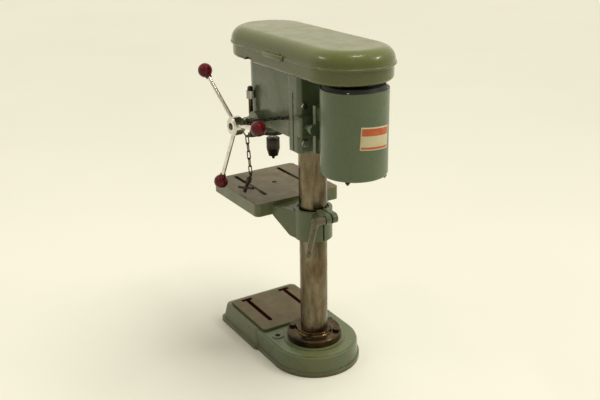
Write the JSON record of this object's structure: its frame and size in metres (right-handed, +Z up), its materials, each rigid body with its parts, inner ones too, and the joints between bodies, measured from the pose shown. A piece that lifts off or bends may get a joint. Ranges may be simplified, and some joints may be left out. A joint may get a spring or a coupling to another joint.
{
  "type": "benchtop drill press",
  "caption": "Benchtop drill press: slotted cast base, round column, sliding table, head with rack feed handles, stepped belt drive under a hinged cover, rear motor.",
  "frame": {"origin": "midway between the two bench bolt holes, on the bench", "axes": "+Z up along the column, -Y to the front where the operator stands, +X to the feed handles"},
  "size_m": [0.2895, 0.5615, 0.84],
  "materials": {
    "cast_paint": "worn green enamel on cast iron",
    "head_paint": "dark green enamel",
    "cover_paint": "glossy light green enamel",
    "column_steel": "brown patina on ground steel",
    "dark_steel": "oil-darkened steel",
    "black_steel": "blackened steel",
    "bright_steel": "ground steel",
    "chrome": "worn chrome plate",
    "pulley_alloy": "turned cast alloy",
    "bell_alloy": "black painted cast alloy",
    "winding": "lacquered windings on a laminated core",
    "bronze": "turned bronze",
    "ball_plastic": "dark maroon moulded plastic",
    "black_plastic": "moulded",
    "belt_rubber": "fabric-faced rubber"
  },
  "bodies": {
    "stand": {"base_casting": "cast_paint", "column": "column_steel", "column_flange": "dark_steel", "flange_bolts": "dark_steel", "head_casting": "head_paint", "head_clamp_bolts": "dark_steel", "feed_bushings": "bronze", "spring_cap": "head_paint", "return_spring": "dark_steel", "sleeve_bearings": "bright_steel", "v_belt": "belt_rubber", "belt_pan": "cover_paint", "pan_screws": "bright_steel", "lid_hinge": "cover_paint", "lid_hinge_pins": "bright_steel", "switch_box": "black_plastic", "chain_anchor": "dark_steel", "chain_on_head": "dark_steel"},
    "table": {"table": "cast_paint", "table_clamp_bolt": "dark_steel"},
    "clamp_lever": {"table_clamp_lever": "cast_paint"},
    "quill": {"quill": "bright_steel", "quill_bearings": "bright_steel", "depth_collar": "dark_steel", "depth_rod": "dark_steel"},
    "feed": {"feed_shaft": "bright_steel", "feed_hub": "chrome", "hub_screw": "bronze", "feed_spoke_1": "chrome", "feed_spoke_2": "chrome", "feed_spoke_3": "chrome", "ball_knob_1": "ball_plastic", "ball_knob_2": "ball_plastic", "ball_knob_3": "ball_plastic"},
    "spindle": {"spindle": "bright_steel", "chuck_body": "black_steel"},
    "chuck_sleeve": {"chuck_sleeve": "black_steel"},
    "jaw_1": {"chuck_jaw_1": "dark_steel"},
    "jaw_2": {"chuck_jaw_2": "dark_steel"},
    "jaw_3": {"chuck_jaw_3": "dark_steel"},
    "drive_pulley": {"pulley_sleeve": "bright_steel", "spindle_pulley": "pulley_alloy"},
    "motor": {"motor_plate": "head_paint", "motor_slide_bars": "bright_steel", "motor_bolts": "dark_steel", "motor_shell": "head_paint", "motor_top_bell": "bell_alloy", "motor_lower_bell": "bell_alloy", "stator": "winding", "motor_bearings": "bright_steel", "cord_gland": "black_plastic"},
    "rotor": {"rotor": "bright_steel", "motor_shaft": "bright_steel", "motor_pulley": "pulley_alloy"},
    "lid": {"belt_lid": "cover_paint"},
    "depth_nut": {"depth_nut": "chrome"},
    "depth_lock_nut": {"depth_lock_nut": "black_steel"},
    "switch": {"switch_toggle": "ball_plastic"},
    "key_chain": {"chain_hanging": "dark_steel", "chuck_key": "black_steel"}
  },
  "joints": [
    {"name": "table_lift", "type": "slide", "parent": "stand", "child": "table", "axis": [0, 0, 1], "range_m": [-0.21, 0]},
    {"name": "clamp_turn", "type": "hinge", "parent": "table", "child": "clamp_lever", "pos_m": [0, 0.125, 0.411], "axis": [1, 0, 0], "range_deg": [0, 100]},
    {"name": "feed_turn", "type": "hinge", "parent": "stand", "child": "feed", "pos_m": [0, -0.1088, 0.6066], "axis": [1, 0, 0], "range_deg": [0, 229]},
    {"name": "quill_feed", "type": "slide", "parent": "stand", "child": "quill", "axis": [0, 0, -1], "range_m": [0, 0.048], "stiffness_N_per_m": 300, "springref_m": -0.25},
    {"name": "spindle_spin", "type": "hinge", "parent": "quill", "child": "spindle", "pos_m": [0, -0.142, 0.6], "axis": [0, 0, 1], "continuous": true},
    {"name": "chuck_turn", "type": "hinge", "parent": "spindle", "child": "chuck_sleeve", "pos_m": [0, -0.142, 0.6], "axis": [0, 0, 1], "range_deg": [0, 1980]},
    {"name": "jaw_1_slide", "type": "slide", "parent": "spindle", "child": "jaw_1", "axis": [0, 0.2924, 0.9563], "range_m": [0, 0.011]},
    {"name": "jaw_2_slide", "type": "slide", "parent": "spindle", "child": "jaw_2", "axis": [-0.2532, -0.1462, 0.9563], "range_m": [0, 0.011]},
    {"name": "jaw_3_slide", "type": "slide", "parent": "spindle", "child": "jaw_3", "axis": [0.2532, -0.1462, 0.9563], "range_m": [0, 0.011]},
    {"name": "pulley_spin", "type": "hinge", "parent": "stand", "child": "drive_pulley", "pos_m": [0, -0.142, 0.8], "axis": [0, 0, 1], "continuous": true},
    {"name": "motor_slide", "type": "slide", "parent": "stand", "child": "motor", "axis": [0, 1, 0], "range_m": [-0.02, 0]},
    {"name": "motor_spin", "type": "hinge", "parent": "motor", "child": "rotor", "pos_m": [0, 0.223, 0.65], "axis": [0, 0, 1], "continuous": true},
    {"name": "lid_open", "type": "hinge", "parent": "stand", "child": "lid", "pos_m": [-0.1095, 0.05, 0.797], "axis": [0, -1, 0], "range_deg": [0, 100]},
    {"name": "depth_nut_turn", "type": "hinge", "parent": "quill", "child": "depth_nut", "pos_m": [0.0615, -0.142, 0.67], "axis": [0, 0, 1], "continuous": true},
    {"name": "depth_lock_turn", "type": "hinge", "parent": "quill", "child": "depth_lock_nut", "pos_m": [0.0615, -0.142, 0.69], "axis": [0, 0, 1], "continuous": true},
    {"name": "switch_flip", "type": "hinge", "parent": "stand", "child": "switch", "pos_m": [-0.0695, -0.076, 0.708], "axis": [0, 1, 0], "range_deg": [0, 28]},
    {"name": "key_swing", "type": "hinge", "parent": "stand", "child": "key_chain", "pos_m": [0.093, -0.1088, 0.5735], "axis": [1, 0, 0], "range_deg": [-14, 14]}
  ],
  "couplings": [
    {"joint": "quill_feed", "follows": "feed_turn", "m_per_rad": 0.012},
    {"joint": "pulley_spin", "follows": "motor_spin", "ratio": 0.82692},
    {"joint": "spindle_spin", "follows": "motor_spin", "ratio": 0.82692},
    {"joint": "jaw_1_slide", "follows": "chuck_turn", "m_per_rad": 0.00031799},
    {"joint": "jaw_2_slide", "follows": "chuck_turn", "m_per_rad": 0.00031799},
    {"joint": "jaw_3_slide", "follows": "chuck_turn", "m_per_rad": 0.00031799}
  ]
}
